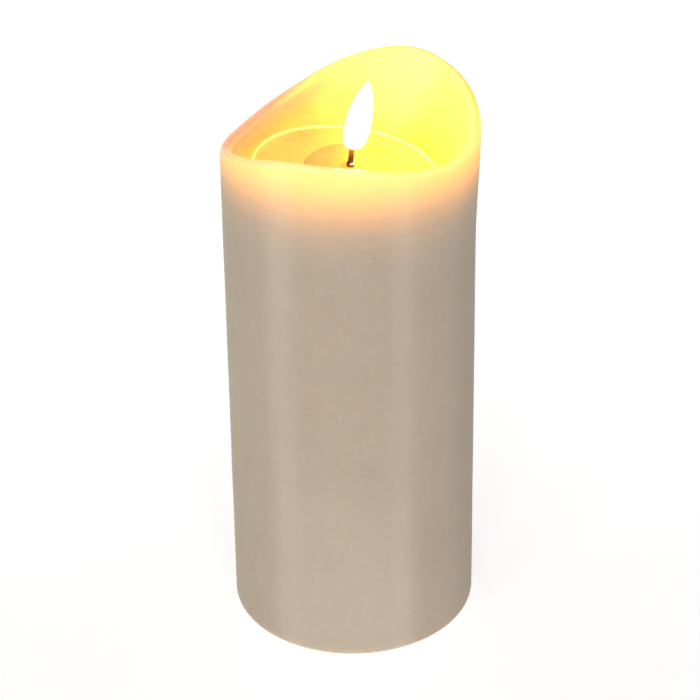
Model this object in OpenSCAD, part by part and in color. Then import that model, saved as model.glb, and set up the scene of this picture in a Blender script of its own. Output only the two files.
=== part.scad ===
// Flameless LED pillar candle: a hollow wax pillar with a melted, wavy rim.
// A tilted lamp unit with a fixed flame sits in the well at the top, and a
// battery base with a hinged door and a slide switch closes the bottom.
// Millimetres, +Z up. The origin is on the floor, on the pillar's axis.

/* [Wax pillar] */
// Outside diameter of the pillar
body_d = 76.2; // [74:0.1:80]
// Wall thickness of the hollow pillar
wall_t = 5; // [4:0.1:5]
// Radius of the rounded bottom edge
base_round = 2.2; // [1:0.1:3]
// Thickness of the rounded lip at the rim
lip_t = 3.4; // [2.8:0.1:4]
// Height of the lip's round top
lip_h = 2.1; // [1.5:0.1:2.5]
// How far the melted rim bulges out on its high side
rim_bulge = 1.1; // [0:0.1:1.4]

/* [Lamp] */
// Lean of the whole lamp unit towards +X
lamp_tilt = 6.4; // [0:0.1:7]
// Height of the hub that the wick stands on
lamp_z = 152.7; // [150:0.1:154]
// Diameter of the melt-pool disc
pool_d = 56.4; // [52:0.1:57]
// Thickness of the melt-pool disc
pool_t = 1.2; // [1:0.1:1.6]
// Diameter of the raised hub in the disc
hub_d = 35.4; // [34:0.1:36]
// Height of the flame above its socket
flame_h = 22.3; // [18:0.1:24]
// Greatest width of the flame
flame_w = 7.7; // [7:0.1:9]
// Diameter of the wick
wick_d = 1.7; // [1.6:0.1:1.9]
// Length of wick between the hub and the flame
wick_gap = 6; // [4:0.1:7]

/* [Battery base] */
// How far the base plate is set up into the pillar
base_recess = 1; // [0.8:0.1:1.2]
// Thickness of the base plate
plate_t = 2; // [2:0.1:2.2]
// Wall thickness of the moulded cap over the batteries
cap_t = 1.4; // [1.2:0.1:1.5]

/* [Battery door] */
// Gap round the door
door_gap = 0.3; // [0.25:0.05:0.35]

/* [Switch] */
// Distance between two positions of the three-position switch
switch_step = 2; // [1.5:0.1:2]

/* [Hidden] */
$fn = 64;
eps = 0.01;

// Pillar
body_r = body_d / 2;
bore_r = body_r - wall_t;
segments = 72;
bulge_z = 130;
bulge_rise = 36;
// Rim height every 30 degrees round the pillar, from +X towards +Y
rim_heights = [169.5, 175, 177, 171.5, 163, 158.5, 161, 166.5, 172, 172, 168.5, 166.5];
rim_step = 360 / len(rim_heights);
seat_r = bore_r - 2.9;
web_z = 141;
bowl_power = 1.8;
bore_chamfer = 0.6;
wall_steps = 5;
bowl_steps = 6;
arc_step = 22.5;

// Lamp unit, in its own leaning frame with the hub's top at the origin
lamp_x = 0.45;
lamp_y = 1.9;
hub_rise = 0.9;
hub_shift = [3.75, -1.7];
pool_shift = [-1.25, -1.9];
pool_edge_w = 0.6;
pool_edge_h = 0.7;
pool_bottom = -hub_rise - pool_t;
seat_gap = 0.02;
holder_r = 14;
holder_depth = 12;
holder_t = 1.4;
well_r = holder_r + 2;
wick_r = wick_d / 2;
lamp_board_z = pool_bottom - holder_t - 2.5;
lamp_board_t = 1;
lamp_board_r = 11.5;
lamp_post_x = 8.5;
lamp_post_r = 1.8;
lamp_screw_l = 3.6;
lamp_screw_hole = 2.8;
wick_post_r = 2.2;
wick_wall = 0.25;
wick_socket = 1.2;
slide_fit = 0.02;
pin_r = 0.18;
pin_x = 0.3;
pin_fit = 0.03;
ferrule_t = 0.35;
ferrule_h = 1.3;
hub_bevel = 0.7;
led_z = wick_gap + 2.4;
led_r = 1.45;
led_foot_r = 1.7;
led_foot_h = 0.8;
led_barrel_h = 1.9;

// Flame
flame_sides = 32;
flame_skin = 0.9;
flame_widest = 0.32;
flame_foot_power = 3.1;
flame_tip_power = 2.17;
flame_tip_round = 0.87;
flame_offset = 0.33;
flame_lean = 2.34;
flame_lean_power = 1.25;
flame_depth = 0.92;
flame_hollow_tip = 0.3;

// Base plate and cap
plate_r = bore_r - 0.1;
plate_top = base_recess + plate_t;
cap_r = plate_r - 0.1;
cap_top = 24.5;
wire_slot_at = [-11.25, 18.1];
wire_slot_l = 6;
wire_slot_w = 3;
case_screw_at = [[21, 19.2], [-21, 19.2], [0, -26]];
case_screw_r = 1.25;
case_boss_r = 2.7;
case_head_r = 2.3;
case_head_h = 1.5;
case_screw_l = 9.5;
case_screw_hole = 8;
case_seat_z = plate_top + 0.5;
case_boss_z = plate_top + 2.5;

// Cells lie side by side along X, the first with its plus end at +X
cell_r = 7.1;
cell_l = 50.5;
nub_r = 2.75;
nub_l = 1.3;
bay_y = -1.5;
cell_pitch = 14.8;
cell_y = [bay_y + cell_pitch / 2, bay_y - cell_pitch / 2];
cell_z = plate_top + 8;
bay_x = 27;
bay_half_y = 14.9;
bay_wall = 1.2;
bay_top = cell_z + cell_r + 0.7;
contact_t = 0.4;
tab_slot = 3;
tab_w = 2.4;
rib_x = 23;
rib_t = 1.8;
contact_half = 4.6;
dimple_foot_r = 1.8;
dimple_top_r = 1.2;
dimple_h = 0.2;
spring_wire_r = 0.28;
spring_r = 3.8;
spring_taper = 1.4;
spring_turns = 3;
nub_x = bay_x - contact_t - dimple_h;
cell_back_x = nub_x - cell_l;

// Battery door
door_x = 26;
door_low_y = bay_y - 14.7;
door_high_y = bay_y + 14.7;
door_t = 1.8;
hinge_y = door_low_y - 1.7;
hinge_z = base_recess + 1.2;
barrel_r = 1.1;
barrel_in = 10;
barrel_out = 18;
stub_r = 0.8;
stub_l = 2.2;
stub_gap = 0.05;
hinge_pocket = 1.8;
hinge_lug = [3, 4.4, 1.2];
scoop_r = 5.5;
scoop_depth = 0.9;
latch_w = 9;
latch_slot = 0.8;
latch_l = 7;
grip_pitch = 1.2;
grip_w = 0.6;
grip_depth = 0.35;
cradle_y = 4.5;
cradle_t = 0.8;
cradle_h = 0.5;

// Slide switch, in front of the door's latch
switch_y = 21.8;
knob_x = switch_step;
knob_l = 4.6;
knob_w = 3;
slot_l = knob_l + 2 * switch_step + 0.8;
slot_w = 3.8;
frame_l = 12.8;
frame_w = 6;
frame_h = 4.4;
frame_t = 0.4;
frame_z = plate_top + 0.3;
lever_w = 2;
knob_groove_pitch = 1.2;
knob_groove_w = 0.5;
knob_groove_depth = 0.4;
mark_w = 0.5;
mark_y = 4.4;
mark_depth = 0.4;

// Circuit board above the switch
board_z = frame_z + frame_h;
board_t = 1;
board_half_x = 15;
board_low_y = 15.2;
board_high_y = 27.2;
board_screw_at = [[-11.5, 24], [11.5, 24]];
board_post_r = 1.9;
board_hole_r = 1;
small_screw_r = 0.8;
small_head_r = 1.6;
small_head_h = 1.1;
board_screw_l = 4.6;
chip_at = [-3.5, 20];
chip_body = [5, 3.9, 1.5];
chip_leg = [0.4, 1.4, 0.6];
chip_leg_pitch = 1.27;
chip_leg_y = 2.4;
capacitor_at = [5.5, 19.5];
capacitor_r = 2.5;
capacitor_h = 7;
resistor = [2, 1.25, 0.6];
resistor_at = [[0.6, 24], [3, 24], [5.4, 24], [0.6, 17]];
crystal_at = [-8, 24.5];
crystal_r = 1;
crystal_l = 6;

// Wires: round route points, from the first joint to the last
wire_r = 0.6;
wire_sides = 8;
battery_red_route = [[26.8, 5.9, 22], [24.5, 8, 22.2], [21.5, 12.5, 22.2], [18, 16.2, 20.5],
    [14.5, 17.2, 15], [12.5, 17.2, 11], [12.5, 17.2, 8.75]];
battery_black_route = [[26.8, -8.9, 22], [23, -8.5, 22.2], [17, -3, 22.2], [12, 6, 22.2],
    [9.5, 13.5, 21.9], [9.5, 16.8, 18.5], [9.5, 17.2, 12], [9.5, 17.2, 8.75]];
lamp_red_route = [[-12.5, 17.5, 8.75], [-12.5, 17.5, 12], [-12.5, 18, 20], [-12.5, 18, 28],
    [-11, 22, 40], [-10, 26, 58], [-9, 27, 80], [-8, 26, 102], [-5, 20, 120],
    [-1, 9, 130], [1.1, 5, 137], [1.45, 5, 145.4]];
lamp_black_route = [[-9.5, 17.5, 8.75], [-9.5, 17.5, 12], [-10, 18, 20], [-10, 18.5, 28],
    [-8, 22, 40], [-7, 25.5, 58], [-6.5, 27, 80], [-7, 24.5, 102], [-6, 17, 118],
    [-4.5, 8, 129], [-4.2, 5, 137], [-4.05, 5, 146]];

// ---- shared functions ----

function ease(t) = let (c = min(1, max(0, t))) c * c * (3 - 2 * c);

function curve(a, b, c, d, t) =
    b + 0.5 * t * (c - a + t * (2 * a - 5 * b + 4 * c - d + t * (3 * (b - c) + d - a)));

// A smooth path through the route's points, with a number of steps in each span
function smooth(route, steps) = let (last = len(route) - 1) [
    for (i = [0 : last - 1]) for (k = [0 : steps - 1])
        curve(route[max(i - 1, 0)], route[i], route[i + 1], route[min(i + 2, last)], k / steps),
    route[last]];

function unit(v) = v / norm(v);

// Rings of a round tube along a path; side is a direction that the path never takes
function tube_rings(path, r, sides, side) = let (last = len(path) - 1) [
    for (i = [0 : last])
        let (t = unit(path[min(i + 1, last)] - path[max(i - 1, 0)]))
        let (u = unit(cross(side, t)), v = cross(t, u))
        [for (j = [0 : sides - 1])
            let (a = 360 * j / sides) path[i] + r * (cos(a) * u + sin(a) * v)]];

// A solid skin over rings of points, with flat ends or joined into a loop
module loft(rings, loop = false) {
    n = len(rings[0]);
    m = len(rings);
    spans = loop ? m : m - 1;
    skin = [for (i = [0 : spans - 1]) for (j = [0 : n - 1])
        let (a = i * n + j, b = i * n + (j + 1) % n)
        let (c = ((i + 1) % m) * n + (j + 1) % n, d = ((i + 1) % m) * n + j)
        each [[a, c, b], [a, d, c]]];
    ends = loop ? [] : [[for (j = [0 : n - 1]) j], [for (j = [n - 1 : -1 : 0]) (m - 1) * n + j]];
    polyhedron(points = [for (ring = rings) each ring], faces = concat(skin, ends));
}

module at_lamp() {
    translate([lamp_x, lamp_y, lamp_z]) rotate([0, lamp_tilt, 0]) children();
}

module ring_solid(r_out, r_in, z_low, z_high) {
    translate([0, 0, z_low]) difference() {
        cylinder(r = r_out, h = z_high - z_low);
        translate([0, 0, -eps]) cylinder(r = r_in, h = z_high - z_low + 2 * eps);
    }
}

module block(low, high) {
    translate(low) cube(high - low);
}

module rounded_slot(l, w, h) {
    translate([-l / 2 + w / 2, -w / 2, 0]) cube([l - w, w, h]);
    for (side = [-1, 1]) translate([side * (l - w) / 2, 0, 0]) cylinder(d = w, h = h);
}

// Pan-head screw that points up, with the underside of its head at z = 0
module screw(r, l, head_r, head_h) {
    difference() {
        union() {
            translate([0, 0, -head_h]) cylinder(r = head_r, h = head_h);
            cylinder(r = r, h = l - r);
            translate([0, 0, l - r]) cylinder(r1 = r, r2 = r / 4, h = r);
        }
        for (turn = [0, 90]) rotate(turn)
            translate([-head_r * 0.6, -head_r * 0.12, -head_h - eps])
                cube([head_r * 1.2, head_r * 0.24, head_h * 0.6]);
    }
}

// ---- pillar ----

function rim_z(a) = let (n = len(rim_heights), u = a / rim_step, i = floor(u))
    curve(rim_heights[(i + n - 1) % n], rim_heights[i % n], rim_heights[(i + 1) % n],
        rim_heights[(i + 2) % n], u - i);

function outer_r(a, z) = body_r + rim_bulge * (1 + cos(a)) / 2 * ease((z - bulge_z) / bulge_rise);

// Height of the leaning seat that the disc lies on
function seat_z(x) =
    lamp_z + (pool_bottom - seat_gap - (x - lamp_x) * sin(lamp_tilt)) / cos(lamp_tilt);

// Outline of the wall at one angle, as radius and height, from the bore's foot
// out, up, over the lip and down to the seat
function wall_outline(a) = let (rim = rim_z(a), lip_z = rim - lip_h)
    let (well_top = outer_r(a, lip_z) - lip_t, seat = seat_z(seat_r * cos(a))) concat(
    [[bore_r, bore_chamfer], [bore_r + bore_chamfer, 0]],
    [for (t = [-90 : arc_step : 0])
        [body_r - base_round + base_round * cos(t), base_round + base_round * sin(t)]],
    [for (k = [0 : wall_steps - 1])
        let (z = bulge_z + (lip_z - bulge_z) * k / wall_steps) [outer_r(a, z), z]],
    [for (t = [0 : arc_step : 180]) let (z = lip_z + lip_h * sin(t))
        [outer_r(a, z) - lip_t / 2 + lip_t / 2 * cos(t), z]],
    [for (k = [1 : bowl_steps]) let (t = k / bowl_steps)
        [seat_r + (well_top - seat_r) * pow(1 - t, bowl_power), lip_z + (seat - lip_z) * t]]);

function on_axis(a, rz) = [rz[0] * cos(a), rz[0] * sin(a), rz[1]];

module wax_shell() {
    turns = [for (j = [0 : segments - 1]) 360 * j / segments];
    outlines = [for (a = turns) wall_outline(a)];
    wall = [for (k = [0 : len(outlines[0]) - 1])
        [for (j = [0 : segments - 1]) on_axis(turns[j], outlines[j][k])]];
    hole_top = [for (a = turns)
        let (x = lamp_x + well_r * cos(a)) [x, lamp_y + well_r * sin(a), seat_z(x)]];
    hole_foot = [for (p = hole_top) [p[0], p[1], web_z]];
    web_foot = [for (a = turns) on_axis(a, [bore_r, web_z])];
    color("antiquewhite") loft(concat(wall, [hole_top, hole_foot, web_foot]), true);
}

// ---- lamp unit ----

module pool_disc() {
    color("khaki") at_lamp() difference() {
        union() {
            translate([pool_shift[0], pool_shift[1], pool_bottom]) {
                cylinder(r = pool_d / 2, h = pool_t);
                ring_solid(pool_d / 2, pool_d / 2 - pool_edge_w, 0, pool_t + pool_edge_h);
            }
            translate([hub_shift[0], hub_shift[1], pool_bottom]) rotate_extrude()
                polygon([[0, 0], [hub_d / 2, 0], [hub_d / 2, pool_t + hub_rise / 3],
                    [hub_d / 2 - hub_bevel, pool_t + hub_rise], [0, pool_t + hub_rise]]);
        }
        translate([0, 0, pool_bottom - eps]) cylinder(r = wick_r + 0.1, h = pool_t + hub_rise + 1);
    }
}

// Half width of the flame at a height from 0 to 1: a blunt foot and a pointed tip
function flame_half(s) = let (low = 1 - s / flame_widest)
    let (high = (s - flame_widest) / (1 - flame_widest))
    flame_w / 2 * (s < flame_widest ? pow(1 - pow(low, flame_foot_power), 1 / flame_foot_power)
        : pow(1 - pow(high, flame_tip_power), flame_tip_round));

function flame_centre(s) = flame_offset + flame_lean * pow(s, flame_lean_power);

function flame_ring(s, half) = [for (j = [0 : flame_sides - 1]) let (a = 360 * j / flame_sides)
    [flame_centre(s) + half * cos(a), half * flame_depth * sin(a), wick_gap + flame_h * s]];

function socket_ring(r, z) = [for (j = [0 : flame_sides - 1])
    let (a = 360 * j / flame_sides) [r * cos(a), r * sin(a), z]];

module flame_lens() {
    heights = [0.995, 0.98, 0.95, 0.91, 0.86, 0.8, 0.73, 0.65, 0.56, 0.46, 0.36, 0.27, 0.19, 0.12,
        0.07, 0.035, 0.012];
    inside = [for (k = [len(heights) - 4 : -1 : 2]) heights[k]];
    socket = wick_r + slide_fit;
    color("ivory") at_lamp() loft(concat(
        [for (s = heights) flame_ring(s, flame_half(s))],
        [socket_ring(socket, wick_gap), socket_ring(socket, wick_gap + wick_socket)],
        [for (s = inside) flame_ring(s, max(flame_hollow_tip, flame_half(s) - flame_skin))]));
}

module wick_tube() {
    color("#2a1a12") at_lamp()
        ring_solid(wick_r, wick_r - wick_wall, lamp_board_z, wick_gap + wick_socket);
}

// Ferrule round the wick's foot, with a chamfered top
module wick_collar() {
    color("#2a1a12") at_lamp() rotate_extrude() translate([wick_r, 0])
        polygon([[0, 0], [ferrule_t, 0], [ferrule_t, 0.7 * ferrule_h],
            [0.7 * ferrule_t, 0.9 * ferrule_h], [0.3 * ferrule_t, ferrule_h], [0, ferrule_h]]);
}

module flame_led() {
    barrel_z = led_z + led_foot_h - eps;
    dome_z = barrel_z + led_barrel_h - eps;
    color("gold") at_lamp() {
        translate([0, 0, led_z]) cylinder(r = led_foot_r, h = led_foot_h);
        translate([0, 0, barrel_z]) cylinder(r = led_r, h = led_barrel_h);
        translate([0, 0, dome_z]) difference() {
            sphere(r = led_r);
            translate([0, 0, -led_r]) cube(2 * led_r, center = true);
        }
    }
}

module led_pins() {
    low = lamp_board_z - lamp_board_t - 0.7;
    color("silver") at_lamp() for (side = [-1, 1])
        translate([side * pin_x, 0, low]) cylinder(r = pin_r, h = led_z - low, $fn = 24);
}

module lamp_holder() {
    top = pool_bottom;
    wick_post_z = lamp_board_z + 0.6;
    color("white") at_lamp() difference() {
        union() {
            difference() {
                translate([0, 0, top - holder_depth]) cylinder(r = holder_r, h = holder_depth);
                translate([0, 0, top - holder_depth - eps])
                    cylinder(r = holder_r - holder_t, h = holder_depth - holder_t + eps);
            }
            for (side = [-1, 1]) translate([side * lamp_post_x, 0, lamp_board_z])
                cylinder(r = lamp_post_r, h = top - lamp_board_z - holder_t / 2);
            translate([0, 0, wick_post_z])
                cylinder(r = wick_post_r, h = top - wick_post_z - holder_t / 2);
        }
        translate([0, 0, lamp_board_z]) cylinder(r = wick_r + slide_fit, h = holder_depth);
        for (side = [-1, 1]) translate([side * lamp_post_x, 0, lamp_board_z - eps])
            cylinder(r = small_screw_r, h = lamp_screw_hole);
    }
}

module lamp_board() {
    color("seagreen") at_lamp() translate([0, 0, lamp_board_z - lamp_board_t]) difference() {
        cylinder(r = lamp_board_r, h = lamp_board_t);
        for (side = [-1, 1]) {
            translate([side * lamp_post_x, 0, -eps]) cylinder(r = board_hole_r, h = 2);
            translate([side * pin_x, 0, -eps]) cylinder(r = pin_r + pin_fit, h = 2, $fn = 24);
        }
    }
}

module lamp_screws() {
    color("silver") at_lamp() for (side = [-1, 1])
        translate([side * lamp_post_x, 0, lamp_board_z - lamp_board_t])
            screw(small_screw_r, lamp_screw_l, small_head_r, small_head_h);
}

module lamp_wire_red() {
    color("red") loft(tube_rings(smooth(lamp_red_route, 4), wire_r, wire_sides, [1, 0, 0]));
}

module lamp_wire_black() {
    color("black") loft(tube_rings(smooth(lamp_black_route, 4), wire_r, wire_sides, [1, 0, 0]));
}

// ---- battery base ----

module base_cap() {
    color("white") difference() {
        union() {
            translate([0, 0, plate_top]) difference() {
                cylinder(r = cap_r, h = cap_top - plate_top);
                translate([0, 0, -eps]) cylinder(r = cap_r - cap_t, h = cap_top - plate_top - cap_t);
            }
            for (p = case_screw_at) translate([p[0], p[1], case_boss_z])
                cylinder(r = case_boss_r, h = cap_top - case_boss_z - cap_t / 2);
        }
        for (p = case_screw_at) translate([p[0], p[1], case_boss_z - eps])
            cylinder(r = case_screw_r, h = case_screw_hole);
        translate([wire_slot_at[0], wire_slot_at[1], cap_top - cap_t - 1])
            rounded_slot(wire_slot_l, wire_slot_w, cap_t + 2);
    }
}

// Walls and roof of the battery bay, cut to the round base
module battery_bay() {
    low_y = bay_y - bay_half_y;
    high_y = bay_y + bay_half_y;
    intersection() {
        translate([0, 0, plate_top - eps]) cylinder(r = cap_r - cap_t - 0.1, h = 30);
        union() {
            difference() {
                block([-bay_x - bay_wall, low_y - bay_wall, plate_top - eps],
                    [bay_x + bay_wall, high_y + bay_wall, bay_top + bay_wall]);
                block([-bay_x, low_y, plate_top - 1], [bay_x, high_y, bay_top]);
                for (y = cell_y) block([bay_x - contact_t, y - tab_slot / 2, bay_top - 1],
                    [bay_x, y + tab_slot / 2, bay_top + 2]);
            }
            // rib that keeps the two cells apart
            block([-rib_x, bay_y - rib_t / 2, cell_z + 5], [rib_x, bay_y + rib_t / 2, bay_top + eps]);
        }
    }
}

module base_plate() {
    color("whitesmoke") difference() {
        union() {
            translate([0, 0, base_recess]) cylinder(r = plate_r, h = plate_t);
            battery_bay();
            for (p = case_screw_at) translate([p[0], p[1], plate_top - eps])
                cylinder(r = case_boss_r + 0.3, h = case_boss_z - plate_top + eps);
            for (p = board_screw_at) translate([p[0], p[1], plate_top - eps])
                cylinder(r = board_post_r, h = board_z - plate_top + eps);
            for (side = [-1, 1]) translate([side * (barrel_out + 1.8), hinge_y, plate_top + 0.4])
                cube(hinge_lug, center = true);
        }
        // opening for the batteries, and the pocket for the door's hinge
        block([-door_x, door_low_y, -1], [door_x, door_high_y, plate_top + eps]);
        block([-barrel_out - door_gap, hinge_y - hinge_pocket, -1],
            [barrel_out + door_gap, door_low_y + eps, plate_top + 0.9]);
        translate([-barrel_out - 3, hinge_y, hinge_z]) rotate([0, 90, 0])
            cylinder(r = stub_r + stub_gap, h = 2 * barrel_out + 6);
        // finger scoop in front of the latch
        translate([0, door_high_y, base_recess - eps]) cylinder(r = scoop_r, h = scoop_depth);
        // switch slot in a shallow pocket
        block([-slot_l / 2, switch_y - slot_w / 2, -1],
            [slot_l / 2, switch_y + slot_w / 2, plate_top + 1]);
        translate([0, switch_y, base_recess - eps]) rounded_slot(slot_l + 5, slot_w + 3, 0.8);
        // three position marks beside the switch
        for (k = [-1 : 1])
            translate([k * switch_step - mark_w / 2, switch_y + mark_y, base_recess - eps])
                cube([mark_w, 1 + 0.5 * (k + 1), mark_depth]);
        for (p = case_screw_at) translate([p[0], p[1], -1]) {
            cylinder(r = case_head_r + 0.2, h = case_seat_z + 1);
            cylinder(r = case_screw_r + 0.2, h = 12);
        }
        for (p = board_screw_at) translate([p[0], p[1], plate_top])
            cylinder(r = small_screw_r, h = 10);
    }
}

module case_screws() {
    color("silver") for (p = case_screw_at)
        translate([p[0], p[1], case_seat_z]) screw(case_screw_r, case_screw_l, case_head_r, case_head_h);
}

// AA cell along +X from its flat end to the tip of its nub
module cell() {
    rotate([0, 90, 0]) rotate_extrude() polygon([[0, 0], [cell_r - 0.9, 0], [cell_r - 0.3, 0.3],
        [cell_r, 0.9], [cell_r, cell_l - nub_l - 0.9], [cell_r - 0.4, cell_l - nub_l - 0.2],
        [cell_r - 1, cell_l - nub_l], [nub_r, cell_l - nub_l], [nub_r, cell_l - 0.2],
        [nub_r - 0.2, cell_l], [0, cell_l]]);
}

module battery_1() {
    color("darkgoldenrod") translate([cell_back_x, cell_y[0], cell_z]) cell();
}

module battery_2() {
    color("darkgoldenrod") translate([-cell_back_x, cell_y[1], cell_z]) rotate(180) cell();
}

// Contact strip against an end wall; the dimple meets the plus end
module contact(side, ys, dimple_y) {
    x = side > 0 ? bay_x - contact_t : -bay_x;
    block([x, min(ys) - contact_half, cell_z - contact_half],
        [x + contact_t, max(ys) + contact_half, cell_z + contact_half]);
    for (y = dimple_y) translate([side * (bay_x - contact_t + eps), y, cell_z])
        rotate([0, -90 * side, 0]) cylinder(r1 = dimple_foot_r, r2 = dimple_top_r, h = dimple_h);
}

module solder_tab(y) {
    block([bay_x - contact_t, y - tab_w / 2, cell_z + contact_half - eps],
        [bay_x, y + tab_w / 2, bay_top + bay_wall + 1.4]);
}

module bridge_contact() {
    color("silver") contact(-1, cell_y, [cell_y[1]]);
}

module positive_contact() {
    color("silver") {
        contact(1, [cell_y[0]], [cell_y[0]]);
        solder_tab(cell_y[0]);
    }
}

module negative_contact() {
    color("silver") {
        contact(1, [cell_y[1]], []);
        solder_tab(cell_y[1]);
    }
}

// Conical spring between a contact strip and the flat end of a cell
module contact_spring(side, y) {
    from = bay_x - contact_t - spring_wire_r - 0.02;
    length = from + cell_back_x - spring_wire_r - 0.04;
    steps = 14 * spring_turns;
    path = [for (k = [0 : steps])
        let (f = k / steps, r = spring_r - spring_taper * f, a = 360 * spring_turns * f)
        [side * (from - length * f), y + r * cos(a), cell_z + r * sin(a)]];
    loft(tube_rings(path, spring_wire_r, 8, [1, 0, 0]));
}

module contact_springs() {
    color("silver") {
        contact_spring(-1, cell_y[0]);
        contact_spring(1, cell_y[1]);
    }
}

module battery_wire_red() {
    color("red") loft(tube_rings(smooth(battery_red_route, 3), wire_r, wire_sides, [0.8, -0.6, 0]));
}

module battery_wire_black() {
    color("black") loft(tube_rings(smooth(battery_black_route, 3), wire_r, wire_sides, [0.8, 0.6, 0]));
}

// ---- circuit board ----

module circuit_board() {
    color("seagreen") difference() {
        block([-board_half_x, board_low_y, board_z], [board_half_x, board_high_y, board_z + board_t]);
        for (p = board_screw_at) translate([p[0], p[1], board_z - eps]) cylinder(r = board_hole_r, h = 2);
    }
}

module controller_chip() {
    color("#202020") translate([chip_at[0], chip_at[1], board_z + board_t]) {
        translate([0, 0, chip_body[2] / 2 + 0.2]) cube(chip_body, center = true);
        for (k = [-1.5 : 1], side = [-1, 1])
            translate([(k + 0.5) * chip_leg_pitch, side * chip_leg_y, chip_leg[2] / 2])
                cube(chip_leg, center = true);
    }
}

// Can with a groove above its foot
module capacitor() {
    r = capacitor_r;
    color("midnightblue") translate([capacitor_at[0], capacitor_at[1], board_z + board_t])
        rotate_extrude() polygon([[0, 0], [r, 0], [r, 0.9], [r - 0.2, 1.15], [r, 1.4],
            [r, capacitor_h - 0.2], [r - 0.2, capacitor_h], [0, capacitor_h]]);
}

module resistors() {
    color("#303030") for (p = resistor_at)
        translate([p[0], p[1], board_z + board_t + resistor[2] / 2]) cube(resistor, center = true);
}

module timer_crystal() {
    color("silver") translate([crystal_at[0], crystal_at[1], board_z + board_t + crystal_r])
        rotate([0, 90, 0]) cylinder(r = crystal_r, h = crystal_l);
}

module board_screws() {
    color("silver") for (p = board_screw_at) translate([p[0], p[1], board_z + board_t])
        rotate([180, 0, 0]) screw(small_screw_r, board_screw_l, small_head_r, small_head_h);
}

// ---- switch ----

module switch_frame() {
    color("silver") translate([0, switch_y, frame_z]) difference() {
        translate([-frame_l / 2, -frame_w / 2, 0]) cube([frame_l, frame_w, frame_h]);
        translate([-frame_l / 2 + frame_t, -frame_w / 2 + frame_t, frame_t])
            cube([frame_l - 2 * frame_t, frame_w - 2 * frame_t, frame_h - 1.2 - frame_t]);
        translate([-slot_l / 2, -lever_w / 2 - 0.2, -eps]) cube([slot_l, lever_w + 0.4, 2]);
    }
}

module switch_knob() {
    low = 0.4;
    thumb_top = plate_top - 0.4;
    color("#303030") translate([knob_x, switch_y, 0]) {
        difference() {
            block([-knob_l / 2, -knob_w / 2, low], [knob_l / 2, knob_w / 2, thumb_top]);
            for (k = [-1 : 1]) let (x = k * knob_groove_pitch)
                block([x - knob_groove_w / 2, -knob_w, low - 1],
                    [x + knob_groove_w / 2, knob_w, low + knob_groove_depth]);
        }
        block([-1.6, -lever_w / 2, thumb_top - eps], [1.6, lever_w / 2, frame_z + 1.5]);
        block([-1.9, -2, frame_z + frame_t + 0.2], [1.9, 2, frame_z + 2.2]);
    }
}

// ---- battery door ----

module battery_door() {
    x = door_x - door_gap;
    low_y = door_low_y + 0.5;
    high_y = door_high_y - door_gap;
    inner = base_recess + door_t;
    color("whitesmoke") {
        difference() {
            union() {
                block([-x, low_y, base_recess], [x, high_y, inner]);
                // ribs along the inside that hold the cells up
                for (cell_mid = cell_y, off = [-cradle_y, cradle_y])
                    block([-x + 2, cell_mid + off - cradle_t / 2, inner - eps],
                        [x - 2, cell_mid + off + cradle_t / 2, inner + cradle_h]);
                for (side = [-1, 1]) {
                    block([side > 0 ? barrel_in : -barrel_out, hinge_y, base_recess + 0.1],
                        [side > 0 ? barrel_out : -barrel_in, low_y + eps, inner]);
                    translate([side > 0 ? barrel_in : -barrel_out, hinge_y, hinge_z])
                        rotate([0, 90, 0]) cylinder(r = barrel_r, h = barrel_out - barrel_in);
                    translate([side > 0 ? barrel_out - 1 : -barrel_out - stub_l, hinge_y, hinge_z])
                        rotate([0, 90, 0]) cylinder(r = stub_r, h = stub_l + 1);
                }
                // the latch's nose stands above the panel, just inside the opening
                block([-latch_w / 2 + latch_slot, high_y - 1.5, inner - eps],
                    [latch_w / 2 - latch_slot, high_y, inner + 1]);
            }
            for (side = [-1, 1]) translate([side * latch_w / 2, high_y - latch_l / 2, 0])
                cube([latch_slot, latch_l + eps, 12], center = true);
            // grip lines on the outside of the latch
            for (k = [0 : 3]) let (y = high_y - 2 - k * grip_pitch)
                block([-latch_w / 2 + 1.4, y, 0], [latch_w / 2 - 1.4, y + grip_w, base_recess + grip_depth]);
        }
    }
}

wax_shell();
pool_disc();
flame_lens();
wick_tube();
wick_collar();
flame_led();
led_pins();
lamp_holder();
lamp_board();
lamp_screws();
lamp_wire_red();
lamp_wire_black();
base_cap();
base_plate();
case_screws();
battery_1();
battery_2();
bridge_contact();
positive_contact();
negative_contact();
contact_springs();
battery_wire_red();
battery_wire_black();
circuit_board();
controller_chip();
capacitor();
resistors();
timer_crystal();
board_screws();
switch_frame();
switch_knob();
battery_door();
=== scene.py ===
"""Looks of the flameless LED pillar candle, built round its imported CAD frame."""

import math

import bmesh
import bpy
import numpy as np
from mathutils import Matrix, Vector, noise


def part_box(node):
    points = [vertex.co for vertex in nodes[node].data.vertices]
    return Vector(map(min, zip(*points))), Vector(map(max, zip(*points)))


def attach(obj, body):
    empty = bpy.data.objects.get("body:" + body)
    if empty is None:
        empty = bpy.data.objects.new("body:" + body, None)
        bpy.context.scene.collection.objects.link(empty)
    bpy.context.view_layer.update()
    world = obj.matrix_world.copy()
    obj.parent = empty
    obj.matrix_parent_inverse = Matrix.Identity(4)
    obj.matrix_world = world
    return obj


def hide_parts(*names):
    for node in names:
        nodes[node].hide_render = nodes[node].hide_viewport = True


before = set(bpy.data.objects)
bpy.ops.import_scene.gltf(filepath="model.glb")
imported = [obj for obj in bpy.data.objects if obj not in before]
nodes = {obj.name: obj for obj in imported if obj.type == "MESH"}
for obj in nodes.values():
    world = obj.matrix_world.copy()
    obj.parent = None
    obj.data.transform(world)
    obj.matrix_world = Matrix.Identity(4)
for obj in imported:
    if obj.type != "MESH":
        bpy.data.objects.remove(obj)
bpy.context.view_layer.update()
MM = 0.001


# ---------------------------------------------------------------- places from the frame

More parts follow.
